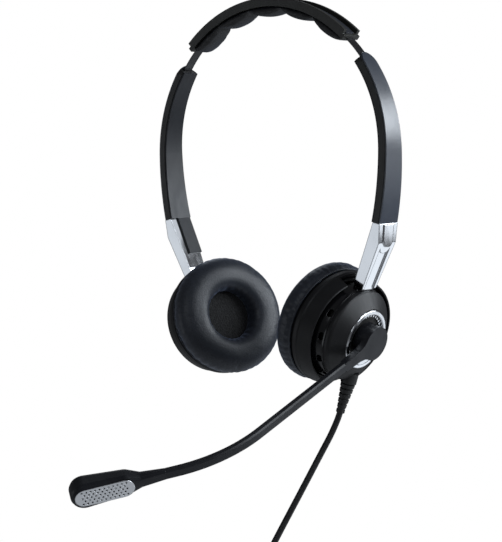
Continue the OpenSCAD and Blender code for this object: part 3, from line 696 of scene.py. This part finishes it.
def hank_strap():
    """Hook-and-loop strap that pulls the runs together at the waist."""
    middle = HANK_TOP - HANK_LENGTH / 2
    rows = []
    for inset, height in STRAP_SECTION:
        row = []
        for k in range(STRAP_SIDES):
            x, y = squared_circle(2 * math.pi * k / STRAP_SIDES, 0.45, 0.6)
            x *= STRAP_HALF_X - inset
            y *= STRAP_HALF_Y - inset
            row.append(Vector((HANK_X + x, HANK_Y + y, middle + height)) * MM)
        rows.append(row)
    obj = grid_mesh("hank_strap", rows)
    subdivide(obj)
    paint(obj, "soft_rubber")
    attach(obj, "left_arm")
    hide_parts("hank_tie")
    return obj


strap = hank_strap()

# ---------------------------------------------------------------- studio

FLOOR_HEIGHT = -0.75
FLOOR_RADIUS = 2.2
ROOM_GREY = 0.10
LIGHT_TARGET = Vector((0, -0.02, 0.05))
COOL_WHITE = (0.88, 0.94, 1.0)


def area_light(name, place, size, glow):
    """A soft box that faces the headset; glow is how bright it looks when seen in a mirror."""
    data = bpy.data.lights.new(name, "AREA")
    data.shape = "RECTANGLE"
    data.size, data.size_y = size
    data.energy = glow * math.pi * size[0] * size[1]
    data.color = COOL_WHITE
    obj = bpy.data.objects.new(name, data)
    bpy.context.scene.collection.objects.link(obj)
    back = (Vector(place) - LIGHT_TARGET).normalized()
    obj.matrix_world = Matrix.Translation(place) @ back.to_track_quat("Z", "Y").to_matrix().to_4x4()
    obj.visible_camera = False


def floor():
    bm = bmesh.new()
    bmesh.ops.create_circle(bm, cap_ends=True, segments=96, radius=FLOOR_RADIUS)
    mesh = bpy.data.meshes.new("floor")
    bm.to_mesh(mesh)
    bm.free()
    mesh.transform(Matrix.Translation((0, 0, FLOOR_HEIGHT)))
    obj = bpy.data.objects.new("floor", mesh)
    bpy.context.scene.collection.objects.link(obj)
    m = Maker("floor")
    pale = m.ramp(m.noise(3.0), [(0.3, (0.86, 0.86, 0.86)), (0.7, (0.9, 0.9, 0.9))])
    m.colour(pale)
    m.rough(m.span(m.noise(30.0), 0.7, 0.9))
    # The camera sees its plain pale colour; reflections see it as the lamps light it
    glow = m.add("ShaderNodeEmission")
    m.link(pale, glow.inputs["Color"])
    mix = m.add("ShaderNodeMixShader")
    m.link(m.add("ShaderNodeLightPath").outputs["Is Camera Ray"], mix.inputs["Fac"])
    m.link(m.shader.outputs["BSDF"], mix.inputs[1])
    m.link(glow.outputs["Emission"], mix.inputs[2])
    m.link(mix.outputs["Shader"], m.tree.nodes["Material Output"].inputs["Surface"])
    mesh.materials.append(m.material)


def room():
    """The camera sees a plain white backdrop; reflections see a dim grey room."""
    world = bpy.data.worlds.new("studio")
    bpy.context.scene.world = world
    world.use_nodes = True
    nodes, links = world.node_tree.nodes, world.node_tree.links
    backdrop = nodes["Background"]
    backdrop.inputs["Color"].default_value = (1, 1, 1, 1)
    grey = nodes.new("ShaderNodeBackground")
    grey.inputs["Color"].default_value = (ROOM_GREY, ROOM_GREY * 1.03, ROOM_GREY * 1.1, 1)
    path = nodes.new("ShaderNodeLightPath")
    mix = nodes.new("ShaderNodeMixShader")
    links.new(path.outputs["Is Camera Ray"], mix.inputs["Fac"])
    links.new(grey.outputs["Background"], mix.inputs[1])
    links.new(backdrop.outputs["Background"], mix.inputs[2])
    links.new(mix.outputs["Shader"], nodes["World Output"].inputs["Surface"])
    bpy.context.scene.view_settings.view_transform = "Standard"


def studio():
    floor()
    room()
    area_light("sheen", (0.726, 0.846, 0.353), (0.60, 0.32), 9.0)
    area_light("side", (1.05, 0.30, 0.45), (0.60, 0.80), 6.0)
    area_light("front", (0.50, -1.10, 0.60), (0.60, 0.50), 1.3)
    area_light("far yoke", (0.53, 0.86, 0.72), (0.34, 0.26), 0.8)
    area_light("tongue", (0.80, 0.91, -0.05), (0.34, 0.24), 1.3)
    area_light("low", (0.45, 0.95, -0.55), (0.45, 0.35), 1.1)
    area_light("rim", (-0.70, 0.60, 0.80), (0.50, 0.50), 1.6)
    area_light("near front", (-0.80, -0.95, -0.10), (0.50, 0.70), 0.9)


studio()
